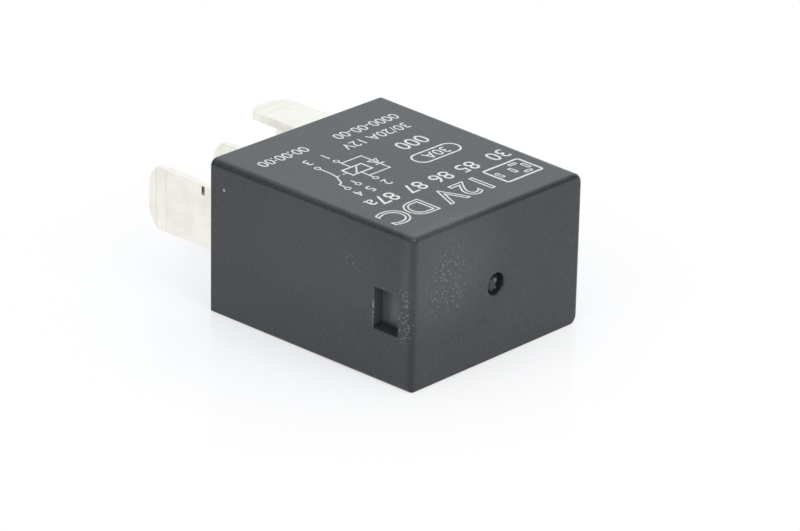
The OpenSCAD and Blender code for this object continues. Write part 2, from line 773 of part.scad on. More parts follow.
// A double contact riveted through the spring's end
module moving_contact() {
    lay() color([0.82, 0.81, 0.78]) lifted() translate([contact_x, 0, leaf_z]) {
        translate([0, 0, leaf_t]) contact(leaf_t);
        mirror([0, 0, 1]) contact(0);
    }
}

module closed_contact() {
    lay() color([0.82, 0.81, 0.78]) translate([contact_x, 0, closed_strip_z])
        mirror([0, 0, 1]) contact(blade_t);
}

module open_contact() {
    lay() color([0.82, 0.81, 0.78]) translate([contact_x, 0, shelf_z + blade_t]) contact(blade_t);
}

cover();
base();
coil_terminal_1();
coil_terminal_2();
common_terminal_3();
closed_terminal_4();
open_terminal_5();
terminal_rivets();
yoke();
core();
bobbin();
coil_winding();
diode();
diode_leads();
armature();
contact_spring();
armature_rivets();
spring_rivets();
moving_contact();
closed_contact();
open_contact();
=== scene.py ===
# %% [markdown]
# # A small automotive relay
# The relay is a dark moulded box that plugs into a fuse box by five flat blades. Here it lies on its
# back on white acrylic, with its label up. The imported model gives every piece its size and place;
# this lesson gives the pieces their surfaces. All lengths are metres, so one millimetre is `MM`.

# %% Load the fixed frame
import math

import bmesh
import bpy
import numpy as np
from mathutils import Matrix, Vector


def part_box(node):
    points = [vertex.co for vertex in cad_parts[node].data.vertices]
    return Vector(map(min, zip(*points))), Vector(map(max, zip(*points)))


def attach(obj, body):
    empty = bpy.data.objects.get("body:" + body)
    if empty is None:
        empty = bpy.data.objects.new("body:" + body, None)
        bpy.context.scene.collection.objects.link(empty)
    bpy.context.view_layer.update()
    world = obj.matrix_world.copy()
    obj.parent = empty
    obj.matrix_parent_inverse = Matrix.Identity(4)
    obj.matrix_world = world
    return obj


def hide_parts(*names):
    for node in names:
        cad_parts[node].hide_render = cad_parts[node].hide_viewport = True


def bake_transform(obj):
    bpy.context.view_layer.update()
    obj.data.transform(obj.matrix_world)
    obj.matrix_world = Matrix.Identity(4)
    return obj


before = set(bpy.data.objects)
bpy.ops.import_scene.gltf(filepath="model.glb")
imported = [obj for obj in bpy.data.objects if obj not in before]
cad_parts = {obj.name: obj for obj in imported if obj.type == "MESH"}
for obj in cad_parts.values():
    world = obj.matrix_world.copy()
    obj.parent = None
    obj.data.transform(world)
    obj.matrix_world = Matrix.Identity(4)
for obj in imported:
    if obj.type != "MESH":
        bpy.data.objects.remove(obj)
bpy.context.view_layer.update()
MM = 0.001
BODY = "relay_body"
ARMATURE = "armature_group"


def placed(name, data):
    """A new object with this data, put into the scene."""
    made = bpy.data.objects.new(name, data)
    bpy.context.scene.collection.objects.link(made)
    return made


# %% [markdown]
# ## The camera
# A long lens far away keeps the box's edges nearly parallel, as in a catalogue picture. The camera
# is placed by its position and three angles; its axes are then worked out with cross products.

# %% Camera
CAMERA_AT = Vector((-258.94, -248.81, 161.14)) * MM
AZIMUTH, ELEVATION, ROLL = (math.radians(a) for a in (-46.869, 23.704, 1.191))
LENS_MM, SENSOR_MM = 188.83, 36
CLIP_NEAR, CLIP_FAR = 0.01, 10

back = Vector((
    math.sin(AZIMUTH) * math.cos(ELEVATION),
    -math.cos(AZIMUTH) * math.cos(ELEVATION),
    math.sin(ELEVATION),
))
right = Vector((0, 0, 1)).cross(back).normalized()
up = back.cross(right)
rolled_right = right * math.cos(ROLL) + up * math.sin(ROLL)
rolled_up = up * math.cos(ROLL) - right * math.sin(ROLL)

lens = bpy.data.cameras.new("camera")
lens.lens = LENS_MM
lens.sensor_width = SENSOR_MM
lens.sensor_fit = "HORIZONTAL"
lens.clip_start, lens.clip_end = CLIP_NEAR, CLIP_FAR
camera = placed("camera", lens)
camera.matrix_world = Matrix.Translation(CAMERA_AT) @ Matrix(
    (rolled_right, rolled_up, back)
).transposed().to_4x4()
bpy.context.scene.camera = camera
print("camera", round(CAMERA_AT.length, 3), "m from the middle of the relay's footprint")

# %% [markdown]
# ## From arrays to meshes
# Most new pieces are grids: rows and columns of points worked out as whole numpy arrays. One helper
# turns such a grid into a mesh, closing it across its first and last column when it goes round.

# %% Grid meshes
def grid_faces(rows, columns, around):
    """Indices of the quads between neighbouring rows and columns. Around joins the last column to
    the first."""
    index = np.arange(rows * columns).reshape(rows, columns)
    if around:
        index = np.concatenate([index, index[:, :1]], axis=1)
    quads = np.stack([index[:-1, :-1], index[:-1, 1:], index[1:, 1:], index[1:, :-1]], axis=-1)
    return quads.reshape(-1, 4)


def mesh_object(name, points, faces, smooth_angle=35):
    """A mesh from points and quads. Points that fall together, as at a pole, are merged, and the
    faces are turned outwards. Edges sharper than smooth_angle stay crisp."""
    mesh = bpy.data.meshes.new(name)
    mesh.from_pydata(points.reshape(-1, 3).tolist(), [], faces.tolist())
    work = bmesh.new()
    work.from_mesh(mesh)
    bmesh.ops.remove_doubles(work, verts=work.verts, dist=1e-8)
    bmesh.ops.dissolve_degenerate(work, edges=work.edges, dist=1e-8)
    bmesh.ops.recalc_face_normals(work, faces=work.faces)
    work.to_mesh(mesh)
    work.free()
    mesh.polygons.foreach_set("use_smooth", np.ones(len(mesh.polygons), bool))
    mesh.set_sharp_from_angle(angle=math.radians(smooth_angle))
    return placed(name, mesh)


def follow_big_faces(piece):
    """Lets the large flat faces set the normals along their edges, so that flats shade flat."""
    weighted = piece.modifiers.new("weighted normals", "WEIGHTED_NORMAL")
    weighted.keep_sharp = True
    weighted.weight = 80


print("a 3 by 4 grid that goes round has", len(grid_faces(3, 4, True)), "faces")

# %% [markdown]
# ## Where the cover's features are
# The frame gives the cover's outer box. The few sizes inside that box, such as the lean of its sides,
# its corner radii, the grip pocket and the gate mark, are named here, because both the plastic and
# the shape refer to them.

# %% Sizes of the cover
cover_low, cover_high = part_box("cover")
RIM_Y, END_Y = cover_high.y, cover_low.y
HALF_W, LABEL_Z = cover_high.x, cover_high.z
LENGTH = RIM_Y - END_Y
DRAFT = 0.2 * MM         # how far a side leans in from rim to closed end
WALL = 1.0 * MM
CEILING_Y = END_Y + 1.5 * MM
# radii of the long edges at the rim and at the closed end: near back, far back, far label, near label
RIM_EDGE_R = np.array([0.2, 1.0, 0.6, 0.7]) * MM
END_EDGE_R = np.array([0.45, 1.0, 1.0, 0.45]) * MM
END_R = 0.45 * MM
INNER_R = 0.3 * MM
POCKET_FLOOR_X = -HALF_W + DRAFT + 1.15 * MM
POCKET_Y = np.array([END_Y + 1.75 * MM, END_Y + 4.75 * MM])
POCKET_Z = np.array([5.1, 9.1]) * MM
PAD_X = POCKET_FLOOR_X + WALL
GATE = np.array([-0.25 * MM, LABEL_Z / 2 - 0.2 * MM])
GATE_R = 1.075 * MM
STUB_SHIFT = np.array([-0.3 * GATE_R, 0.0])    # from the well's middle
STUB_R = 0.62 * MM


def lean(y):
    """How far a drafted side has leaned in at y: in proportion to the distance from the rim."""
    return DRAFT * (RIM_Y - y) / LENGTH


print("cover", [round(v / MM, 1) for v in cover_high - cover_low], "mm")

# %% [markdown]
# ## Nodes for the finishes
# Every finish is procedural and reads Object coordinates, so it keeps its scale in millimetres on
# each piece. Short helpers start a finish and add nodes to it, which keeps the recipes readable.

# %% Material helpers
def finish(name):
    """A new material: the material, its node tree, its Principled shader and its Object coordinates."""
    made = bpy.data.materials.new(name)
    made.use_nodes = True
    tree = made.node_tree
    place = tree.nodes.new("ShaderNodeTexCoord").outputs["Object"]
    return made, tree, tree.nodes["Principled BSDF"], place


def made_before(material):
    """The node tree, Principled shader and Object coordinates of a finish that exists already."""
    tree = material.node_tree
    place = next(n for n in tree.nodes if n.type == "TEX_COORD").outputs["Object"]
    return tree, tree.nodes["Principled BSDF"], place


def base_colour(shader):
    """The socket that feeds a shader's Base Color now."""
    return shader.inputs["Base Color"].links[0].from_socket


def add(tree, kind, settings=(), **inputs):
    """Adds a node. Settings are its own properties; an input takes a number or another node's socket.
    An input's name has underscores for spaces, and in0, in1, ... count the inputs."""
    made = tree.nodes.new("ShaderNode" + kind)
    for key, value in dict(settings).items():
        setattr(made, key, value)
    for key, value in inputs.items():
        counted = key.startswith("in") and key[2:].isdigit()
        target = made.inputs[int(key[2:]) if counted else key.replace("_", " ")]
        if isinstance(value, bpy.types.NodeSocket):
            tree.links.new(value, target)
        else:
            target.default_value = value
    return made


print("finish, made_before, base_colour and add are ready")

# %% [markdown]
# A finish is then built in layers. Noise or a distance gives a value at every point, a smooth step
# turns the value into a share from 0 to 1, and the share lays one colour over another. Each of these
# is one helper, so that a recipe reads as a list of layers.

# %% Patterns, sums and layers
def noise(tree, place, size, detail=2.0, roughness=0.5):
    """Cloudy noise from 0 to 1 whose blotches are about size metres across."""
    return add(
        tree, "TexNoise", Vector=place, Scale=1 / size, Detail=detail, Roughness=roughness
    ).outputs["Fac"]


def between(tree, value, low, high):
    """0 where value is under low, 1 over high, and smooth between them."""
    return add(
        tree, "MapRange", {"interpolation_type": "SMOOTHSTEP"},
        Value=value, From_Min=low, From_Max=high,
    ).outputs[0]


def arithmetic(tree, operation, a, b):
    """One sum on two values."""
    return add(tree, "Math", {"operation": operation}, in0=a, in1=b).outputs[0]


def product(tree, first, *others):
    """All the values multiplied."""
    for other in others:
        first = arithmetic(tree, "MULTIPLY", first, other)
    return first


def greatest(tree, first, *others):
    """The greatest of the values."""
    for other in others:
        first = arithmetic(tree, "MAXIMUM", first, other)
    return first


def distance_from(tree, value, middle):
    """How far a value is from middle, without its sign."""
    return arithmetic(tree, "ABSOLUTE", arithmetic(tree, "SUBTRACT", value, middle), 0.0)


def blend_colours(tree, factor, a, b):
    """Colour a where factor is 0, colour b where it is 1."""
    made = add(tree, "Mix", {"data_type": "RGBA"}, in0=factor)
    for socket, value in ((made.inputs[6], a), (made.inputs[7], b)):
        if isinstance(value, bpy.types.NodeSocket):
            tree.links.new(value, socket)
        else:
            socket.default_value = (*value, 1)
    return made.outputs[2]


def bumps(tree, shader, height, distance, strength=1.0):
    """Raises the surface by height times distance, as bumps in its shading."""
    made = add(tree, "Bump", Height=height, Distance=distance, Strength=strength)
    tree.links.new(made.outputs["Normal"], shader.inputs["Normal"])


print("layers ready")

# %% [markdown]
# ## The cover's plastic
# The cover is glass-filled nylon from a spark-eroded mould: a dark charcoal with a fine sandy grain
# that scatters light. Grains are a tenth of a millimetre, so noise of that size drives the bumps and
# a slight change of tone. Dust is specks lying in the grain. A Voronoi pattern gives them, because
# each of its cells has a middle, for a round dot, and a colour of its own, to choose by.

# %% Specks and soft spots
def specks(tree, place, spacing, size, share):
    """Round dots, 1 inside and 0 outside: one in each share of the cells of a Voronoi pattern."""
    cells = add(tree, "TexVoronoi", Vector=place, Scale=1 / spacing, Randomness=1.0)
    dot = between(tree, cells.outputs["Distance"], size / spacing, 0.5 * size / spacing)
    value = add(tree, "SeparateColor", Color=cells.outputs["Color"]).outputs[0]
    chosen = arithmetic(tree, "LESS_THAN", value, share)
    return product(tree, dot, chosen)


def near(tree, place, centre, reach):
    """1 close to centre and 0 beyond its reach, which has one value along each axis: the distance
    from the centre divided by the reach, where up to 0.3 gives 1 and from 1 on gives 0."""
    shifted = add(tree, "VectorMath", {"operation": "SUBTRACT"}, in0=place, in1=centre).outputs[0]
    scaled = add(tree, "VectorMath", {"operation": "DIVIDE"}, in0=shifted, in1=reach).outputs[0]
    far = add(tree, "VectorMath", {"operation": "LENGTH"}, in0=scaled).outputs["Value"]
    return between(tree, far, 1.0, 0.3)


print("specks and soft spots ready")

# %% [markdown]
# ## Where the cover is worn, and where light and shade are painted
# Painted light, a pale patch, lies on the upper middle of the narrow side and the upper part of the
# closed end; painted shade, a dark line, runs down the rounding between them. Dust has gathered beside
# the grip pocket, by the gate mark and on the narrow side. The pocket's walls and floor are painted
# greyer for the light that reaches in, the torn gate is greyer as stress-whitened plastic and as
# painted light, and a thin pale line on the pocket's rim-side lip is a painted highlight. Each place is
# a middle and a reach along each axis, so that a spot can be wide on its face and still not spill
# round the edge.

# %% Worn places, and places of painted light and shade
# middle, reach and strength of the painted light: the upper middle of the narrow side and the upper part
# of the closed end
PAINTED_LIGHT_PLACES = (
    (Vector((-HALF_W, END_Y + 11 * MM, 10 * MM)), Vector((2, 14, 7)) * MM, 0.12),
    (Vector((-0.7 * HALF_W, END_Y, 11.5 * MM)), Vector((11, 2, 8)) * MM, 0.4),
)
# middle and reach: beside the pocket, by the gate mark and on the narrow side
DUSTY_PLACES = (
    (Vector((-HALF_W + DRAFT, END_Y + 1.1 * MM, 7.4 * MM)), Vector((0.9, 1.6, 3.6)) * MM),
    (Vector((-0.6 * HALF_W, END_Y, 9.6 * MM)), Vector((3.6, 0.8, 5.0)) * MM),
    (Vector((-HALF_W, END_Y + 7.6 * MM, 10.7 * MM)), Vector((0.8, 2.4, 1.0)) * MM),
)
# painted shade: a dark line down the rounding between the narrow side and the closed end
PAINTED_SHADE_EDGE_PLACE = (Vector((-HALF_W + DRAFT, END_Y, LABEL_Z / 2)), Vector((0.9, 0.9, 60)) * MM)
# painted highlight: a thin pale line along the pocket's rim-side lip
LIP_HIGHLIGHT_PLACE = (
    Vector((-HALF_W + lean(POCKET_Y[1]), POCKET_Y[1], POCKET_Z.mean())),
    Vector((0.3, 0.14, 2.6)) * MM,
)
# painted light inside the grip pocket: a greyer tone on its walls and floor for the light that reaches in
POCKET_PLACE = (
    Vector((POCKET_FLOOR_X, POCKET_Y.mean(), POCKET_Z.mean())), Vector((3, 8, 8)) * MM,
)
# the painted light starts below the pocket's lips: along each axis, where it starts and where it is full
POCKET_LIMITS = (
    ("X", -HALF_W + 0.2 * MM, -HALF_W + 0.45 * MM),
    ("Y", END_Y + 1.5 * MM, END_Y + 1.7 * MM),
    ("Z", POCKET_Z[0] + 0.05 * MM, POCKET_Z[0] + 0.6 * MM),
)
STUB_PLACE = (
    Vector((GATE[0] + STUB_SHIFT[0], END_Y + 0.3 * MM, GATE[1])), Vector((1.1, 1.2, 1.1)) * MM,
)
print(len(PAINTED_LIGHT_PLACES), "hazy and", len(DUSTY_PLACES), "dusty places")

# %% Colours of the cover
CHARCOAL = (0.022, 0.0245, 0.0285)
CHARCOAL_LIGHT = (0.043, 0.0465, 0.052)
# painted light: the pale grey laid on the upper middle of the narrow side and the upper part of the closed
# end
PAINTED_LIGHT_GREY = (0.105, 0.112, 0.118)
# the pale grey of dust, also used for the painted highlight on the pocket's lip
DUST_AND_LIP_HIGHLIGHT = (0.42, 0.43, 0.43)
# painted shade for the rounding between the narrow side and the closed end
PAINTED_SHADE_EDGE = (0.010, 0.011, 0.013)
# painted light in the pocket; on the torn gate partly stress-whitened plastic and partly painted light
PAINTED_LIGHT_AND_WHITENED_GREY = (0.10, 0.107, 0.112)
# spacing of the cells, size of a speck and share of the cells that hold one
FEW_SPECKS = (0.9 * MM, 0.08 * MM, 0.13)
MANY_SPECKS = (0.24 * MM, 0.088 * MM, 0.5)
FINE, COARSE, CLOUDS = 0.12 * MM, 0.3 * MM, 6 * MM
# how strongly each is laid over the grain
CLOUD_SHARE, PAINTED_SHADE_SHARE, DUST_SHARE, LIP_HIGHLIGHT_SHARE = 0.3, 0.5, 0.7, 0.8
LIGHT_AND_WHITENING_SHARE, GATE_SHARE = 0.85, 0.4

cover_plastic, tree, shader, place = finish("cover_plastic")
grain = noise(tree, place, FINE, detail=1.5, roughness=0.5)
coarse = noise(tree, place, COARSE, detail=1.0)
clouds = noise(tree, place, CLOUDS, detail=3.0)
sand = arithmetic(tree, "ADD", product(tree, grain, 0.7), product(tree, coarse, 0.3))
tone = blend_colours(tree, between(tree, sand, 0.35, 0.68), CHARCOAL, CHARCOAL_LIGHT)
cloudy = product(tree, between(tree, clouds, 0.4, 0.75), CLOUD_SHARE)
tone = blend_colours(tree, cloudy, tone, CHARCOAL_LIGHT)
print("grain mixed from noise of", FINE / MM, "and", COARSE / MM, "mm")

# %% Painted light, painted dark edge and dust over the grain
# painted light: pale patches where the narrow side and the closed end are lit most
painted_light_spots = [product(tree, near(tree, place, middle, reach), strength)
        for middle, reach, strength in PAINTED_LIGHT_PLACES]
tone = blend_colours(tree, arithmetic(tree, "ADD", *painted_light_spots), tone, PAINTED_LIGHT_GREY)
# painted shade: darkens the rounding between the narrow side and the closed end
tone = blend_colours(
    tree, product(tree, near(tree, place, *PAINTED_SHADE_EDGE_PLACE), PAINTED_SHADE_SHARE), tone, PAINTED_SHADE_EDGE
)
few, many = specks(tree, place, *FEW_SPECKS), specks(tree, place, *MANY_SPECKS)
dusty = greatest(tree, *(near(tree, place, *spot) for spot in DUSTY_PLACES))
dust = greatest(tree, few, product(tree, many, dusty))
tone = blend_colours(tree, product(tree, dust, DUST_SHARE), tone, DUST_AND_LIP_HIGHLIGHT)
# painted highlight on the pocket's rim-side lip, broken up by the grain
lip_highlight = product(tree, near(tree, place, *LIP_HIGHLIGHT_PLACE), between(tree, grain, 0.35, 0.6))
tone = blend_colours(tree, product(tree, lip_highlight, LIP_HIGHLIGHT_SHARE), tone, DUST_AND_LIP_HIGHLIGHT)
print("dust over", len(DUSTY_PLACES), "places")

# %% Painted light in the pocket, a paler gate, then the sandy surface
axes = add(tree, "SeparateXYZ", Vector=place).outputs
# painted light: the pocket's walls and floor are made greyer, all but its bottom wall
pocket_painted_light = product(tree, near(tree, place, *POCKET_PLACE), *(
    between(tree, axes[axis], start, full) for axis, start, full in POCKET_LIMITS
))
below_face = between(tree, axes["Y"], END_Y + 0.06 * MM, END_Y + 0.12 * MM)
# the torn gate: partly stress-whitened plastic, partly painted light that lifts the shade in the well
gate_whitening_and_light = product(tree, near(tree, place, *STUB_PLACE), below_face, GATE_SHARE)
painted_light_and_whitening = product(tree, greatest(tree, pocket_painted_light, gate_whitening_and_light), LIGHT_AND_WHITENING_SHARE)
tone = blend_colours(tree, painted_light_and_whitening, tone, PAINTED_LIGHT_AND_WHITENED_GREY)
tree.links.new(tone, shader.inputs["Base Color"])
roughness = add(tree, "MapRange", Value=sand, To_Min=0.2, To_Max=0.32).outputs[0]
tree.links.new(roughness, shader.inputs["Roughness"])
bumps(tree, shader, sand, 0.009 * MM, 0.6)
print("cover plastic has", len(tree.nodes), "nodes")

# %% [markdown]
# ## Tin, iron, bronze, copper and silver
# The blades are brass strip with a dull tin plating, a warm white that is blotchy from rolling and
# from sockets. Inside, the yoke, core and armature are zinc-plated iron, the spring is bronze, the
# winding is copper under enamel, and the contacts are silver. One recipe serves them all: a metal
# whose tone and polish wander slowly, with fine rolling marks along the strip.

# %% Metals
def metal(name, pale, dark, polish, blotch=1.2 * MM, marks=(0.04, 1.2, 1.2)):
    """A metal that wanders between two tones over blotches of that size. Marks gives the size of the
    fine scratches along each axis, in millimetres, and polish the lowest and highest roughness."""
    made, tree, shader, place = finish(name)
    shader.inputs["Metallic"].default_value = 1.0
    cloud = noise(tree, place, blotch, detail=4.0, roughness=0.6)
    stretched = add(
        tree, "VectorMath", {"operation": "DIVIDE"}, in0=place, in1=Vector(marks) * MM
    ).outputs[0]
    scratch = add(tree, "TexNoise", Vector=stretched, Scale=1.0, Detail=2.0).outputs["Fac"]
    mixed = arithmetic(tree, "ADD", product(tree, cloud, 0.75), product(tree, scratch, 0.25))
    tree.links.new(
        blend_colours(tree, between(tree, mixed, 0.35, 0.65), dark, pale), shader.inputs["Base Color"]
    )
    wander = add(tree, "MapRange", Value=mixed, From_Min=0.3, From_Max=0.7,
                 To_Min=polish[1], To_Max=polish[0]).outputs[0]
    tree.links.new(wander, shader.inputs["Roughness"])
    bumps(tree, shader, mixed, 0.006 * MM, 0.5)
    return made


ALONG_BLADE = (0.05, 2.5, 0.05)
TIN, TIN_WORN = (1.0, 0.975, 0.90), (0.955, 0.925, 0.835)
PRESSED = (0.80, 0.74, 0.62)
PRESSED_LINES = ((1.2 * MM, 0.5), (2.6 * MM, 0.35))    # distance from the tip, strength


def tin_plate(name, tip_y):
    """Tin plating on a blade that ends at tip_y, with the punch's two faint brassy lines across it: a
    line is strong where the distance from tip_y differs little from the line's own."""
    made = metal(name, TIN, TIN_WORN, (0.28, 0.45), blotch=1.6 * MM, marks=ALONG_BLADE)
    tree, shader, place = made_before(made)
    along = add(tree, "SeparateXYZ", Vector=place).outputs["Y"]
    tone = base_colour(shader)
    for distance, weight in PRESSED_LINES:
        off = distance_from(tree, along, tip_y - distance)
        line = product(tree, between(tree, off, 0.16 * MM, 0.04 * MM), weight)
        tone = blend_colours(tree, line, tone, PRESSED)
    tree.links.new(tone, shader.inputs["Base Color"])
    return made


tin = tin_plate("tin_on_contact_blades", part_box("open_terminal_5")[1].y)
coil_tin = tin_plate("tin_on_coil_blades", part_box("coil_terminal_1")[1].y)
print("two faint lines on each of", tin.name, "and", coil_tin.name)

# %% [markdown]
# The outer face of the open contact's blade has a small nick near the base. The nick is in the blade's
# own shape; the shade inside it is painted, a soft spot of dark brown round the nick's middle.

# %% Painted shade in the nick, and the other metals
NICK_PLACE = (
    Vector((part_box("open_terminal_5")[0].x + 0.15 * MM, RIM_Y + 3.7 * MM, LABEL_Z / 2 + 2.6 * MM)),
    Vector((0.6, 0.3, 0.65)) * MM,
)
# painted shade: a dark brown inside the nick
NICK_PAINTED_SHADE = (0.10, 0.085, 0.065)
tree, shader, place = made_before(tin)
nick_shade = near(tree, place, *NICK_PLACE)
tree.links.new(
    blend_colours(tree, nick_shade, base_colour(shader), NICK_PAINTED_SHADE), shader.inputs["Base Color"]
)
iron = metal("plated_iron", (0.66, 0.67, 0.66), (0.45, 0.46, 0.45), (0.25, 0.4))
bronze = metal("spring_bronze", (0.80, 0.56, 0.31), (0.62, 0.40, 0.20), (0.22, 0.35),
               marks=(2.5, 0.05, 0.05))
steel = metal("rivet_steel", (0.72, 0.71, 0.68), (0.52, 0.51, 0.49), (0.3, 0.45), blotch=0.6 * MM)
silver = metal("contact_silver", (0.87, 0.86, 0.83), (0.62, 0.60, 0.56), (0.2, 0.4), blotch=0.5 * MM)
lead_wire = metal("lead_wire", (0.80, 0.79, 0.76), (0.62, 0.61, 0.58), (0.25, 0.4), blotch=0.4 * MM)
copper = metal("enamelled_copper", (0.66, 0.26, 0.10), (0.38, 0.12, 0.05), (0.18, 0.3),
               blotch=0.8 * MM, marks=(1.0, 1.0, 1.0))
copper.node_tree.nodes["Principled BSDF"].inputs["Coat Weight"].default_value = 0.6
print("metals:", ", ".join(m.name for m in (iron, bronze, steel, silver, lead_wire, copper)))

# %% [markdown]
# ## The inner plastics
# The base is the same dark nylon as the cover but from a polished mould, so it is smoother. The
# bobbin is natural nylon, a milky cream. The diode is black epoxy with a pale band at its cathode.

# %% Base, bobbin and diode plastics
def moulded(name, colour, light, rough, grain_size=0.2 * MM):
    """A smooth moulded plastic with faint flow clouds."""
    made, tree, shader, place = finish(name)
    cloud = noise(tree, place, 2.5 * MM, detail=3.0)
    tree.links.new(blend_colours(tree, between(tree, cloud, 0.35, 0.7), colour, light),
                   shader.inputs["Base Color"])
    shader.inputs["Roughness"].default_value = rough
    bumps(tree, shader, noise(tree, place, grain_size), 0.004 * MM, 0.5)
    return made, tree, shader, place


base_plastic = moulded("base_plastic", (0.030, 0.031, 0.034), (0.045, 0.046, 0.05), 0.42)[0]
bobbin_plastic = moulded("bobbin_plastic", (0.70, 0.66, 0.54), (0.80, 0.77, 0.66), 0.4)[0]
diode_plastic, tree, shader, place = moulded("diode_plastic", (0.02,) * 3, (0.03,) * 3, 0.3)
height = add(tree, "SeparateXYZ", Vector=place).outputs["Z"]
diode_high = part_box("diode")[1]
BAND_Z = diode_high.z - 0.7 * MM
BAND_HALF = 0.25 * MM
BAND_WHITE = (0.6, 0.6, 0.58)
in_band = arithmetic(tree, "LESS_THAN", distance_from(tree, height, BAND_Z), BAND_HALF)
tree.links.new(
    blend_colours(tree, in_band, base_colour(shader), BAND_WHITE), shader.inputs["Base Color"]
)
print("diode band at", round(BAND_Z / MM, 2), "mm above the floor")

# %% [markdown]
# ## The cover's shape
# The cover is a box open at the blades: long edges rounded, three sides leaning in a little so that
# it leaves its mould, and a closed end with a rounded rim. It is one closed grid. The rows run from
# the middle of the inside ceiling, down the inside walls, over the open rim, back up the outside,
# round the closed end and into the gate mark. Every row is the same rounded rectangle with its own
# width, depth and corner radii.

# %% Rounded rectangles, one for each row
def run(count):
    """Places of the points on a straight side, from 0 to 1, with one close to each end."""
    return np.concatenate([[0.008], np.linspace(0.05, 0.95, count), [0.992]])


# heights of the points on the pocket's side: both lips and walls of the pocket get their own lines
LIP = np.array([-0.12, -0.06, -0.02, 0.0, 0.02, 0.06, 0.12]) * MM
SIDE_Z = np.sort(np.concatenate([
    np.array([1.4, 2.5, 3.6, 4.5, 5.9, 6.6, 7.1, 7.6, 8.3, 9.8, 10.8, 11.8, 12.8, 13.7]) * MM,
    POCKET_Z[0] + LIP, POCKET_Z[1] + LIP,
]))[::-1]


def rounded_rows(x0, x1, z0, z1, radii, arc_steps=10):
    """Rows of points round a rectangle from x0 to x1 and z0 to z1, all arrays with one value a row.
    A corner is a quarter circle: its centre plus its radius times cosine and sine of the angle. A side
    goes straight from one corner to the next. Returns rows by columns by (x, z), and which columns
    belong to the pocket's side."""
    signs = [(-1, -1, 180), (1, -1, 270), (1, 1, 0), (-1, 1, 90)]
    corners = []
    for k, (sx, sz, start) in enumerate(signs):
        angle = np.radians(start + np.linspace(0, 90, arc_steps + 1))
        r = radii[:, k, None]
        cx = (x0 if sx < 0 else x1)[:, None] - sx * r
        cz = (z0 if sz < 0 else z1)[:, None] - sz * r
        corners.append(np.stack([cx + r * np.cos(angle), cz + r * np.sin(angle)], axis=-1))
    parts, on_side = [], []
    for k, count in enumerate((14, 10, 16, 0)):
        a, b = corners[k][:, -1:], corners[(k + 1) % 4][:, :1]
        if count:
            t = np.broadcast_to(run(count)[None, :, None], (len(x0), count + 2, 1))
        else:
            t = ((SIDE_Z[None] - a[:, :, 1]) / (b[:, :, 1] - a[:, :, 1]))[:, :, None]
        parts += [corners[k], a + t * (b - a)]
        on_side += [np.zeros(arc_steps + 1, bool), np.full(t.shape[1], count == 0)]
    return np.concatenate(parts, axis=1), np.concatenate(on_side)


rows, on_side = rounded_rows(
    *(np.array([v]) * MM for v in (-1, 1, 0, 2)), np.full((1, 4), 0.2 * MM)
)
print("a row has", rows.shape[1], "points,", on_side.sum(), "of them on the pocket's side")

# %% The outside, the inside and the closed end
LIP_IN = np.array([0, 0.004, 0.025, 0.07, 0.93, 0.99, 1.0])


def sunk(x, y, z, floor_x, low_y, high_y, low_z, high_z):
    """Pushes x toward floor_x inside a rectangle: by how deep a point is inside it, past a soft lip."""
    inside = np.minimum(np.minimum(y - low_y, high_y - y), np.minimum(z - low_z, high_z - z))
    return x + (floor_x - x) * np.interp(inside, LIP, LIP_IN)


def outside_rows():
    """From the rim to the closed end, then a quarter circle of radius END_R over to the end face."""
    straight = np.concatenate([
        [RIM_Y - 0.08 * MM],
        RIM_Y - LENGTH * np.array([0.02, 0.15, 0.3, 0.45, 0.6, 0.75]),
        POCKET_Y[1] - LIP, np.linspace(POCKET_Y[1] - 0.5 * MM, POCKET_Y[0] + 0.5 * MM, 5),
        POCKET_Y[0] - LIP, [END_Y + 1.2 * MM, END_Y + END_R + 0.05 * MM],
    ])
    turn = np.radians(np.linspace(0, 90, 11))
    y = np.concatenate([[RIM_Y], straight, END_Y + END_R * (1 - np.sin(turn))])
    inset = np.concatenate([[0.08 * MM], 0 * straight, END_R * (1 - np.cos(turn))])
    grown = np.clip((RIM_Y - y) / LENGTH, 0, 1)[:, None]
    radii = RIM_EDGE_R + grown * (END_EDGE_R - RIM_EDGE_R) - inset[:, None]
    d = lean(y) + inset
    outline, on_side = rounded_rows(
        -HALF_W + d, HALF_W - d, 0.4 * inset, LABEL_Z - d, np.maximum(radii, 0.002 * MM)
    )
    yy = np.broadcast_to(y[:, None], outline.shape[:2])
    x = np.where(on_side, sunk(outline[..., 0], yy, outline[..., 1], POCKET_FLOOR_X, *POCKET_Y, *POCKET_Z),
                 outline[..., 0])
    return np.stack([x, yy, outline[..., 1]], axis=-1)


def inside_rows():
    """The inside walls from the ceiling to the rim, with a pad that backs the pocket."""
    y = np.concatenate([
        [CEILING_Y], POCKET_Y[1] + WALL - LIP[::-1], RIM_Y - LENGTH * np.array([0.6, 0.3, 0.05]),
        [RIM_Y - 0.05 * MM, RIM_Y],
    ])
    d = lean(y) + WALL - np.where(y == RIM_Y, 0.05 * MM, 0)
    bottom = np.full(len(y), WALL) - np.where(y == RIM_Y, 0.05 * MM, 0)
    outline, on_side = rounded_rows(
        -HALF_W + d, HALF_W - d, bottom, LABEL_Z - d, np.full((len(y), 4), INNER_R)
    )
    yy = np.broadcast_to(y[:, None], outline.shape[:2])
    pad = sunk(outline[..., 0], yy, outline[..., 1], PAD_X, END_Y, POCKET_Y[1] + WALL,
               POCKET_Z[0] - WALL, POCKET_Z[1] + WALL)
    x = np.where(on_side, pad, outline[..., 0])
    return np.stack([x, yy, outline[..., 1]], axis=-1)


print("outside", outside_rows().shape, "inside", inside_rows().shape)

# %% [markdown]
# ## The gate mark
# Where the plastic was injected, the closed end has a round well with the torn stub of the gate at
# its bottom. The end face's points run along rays from its outline to the well, then down the wall
# and over the stub. The stub sits off centre and is ragged, which a few sine waves give.

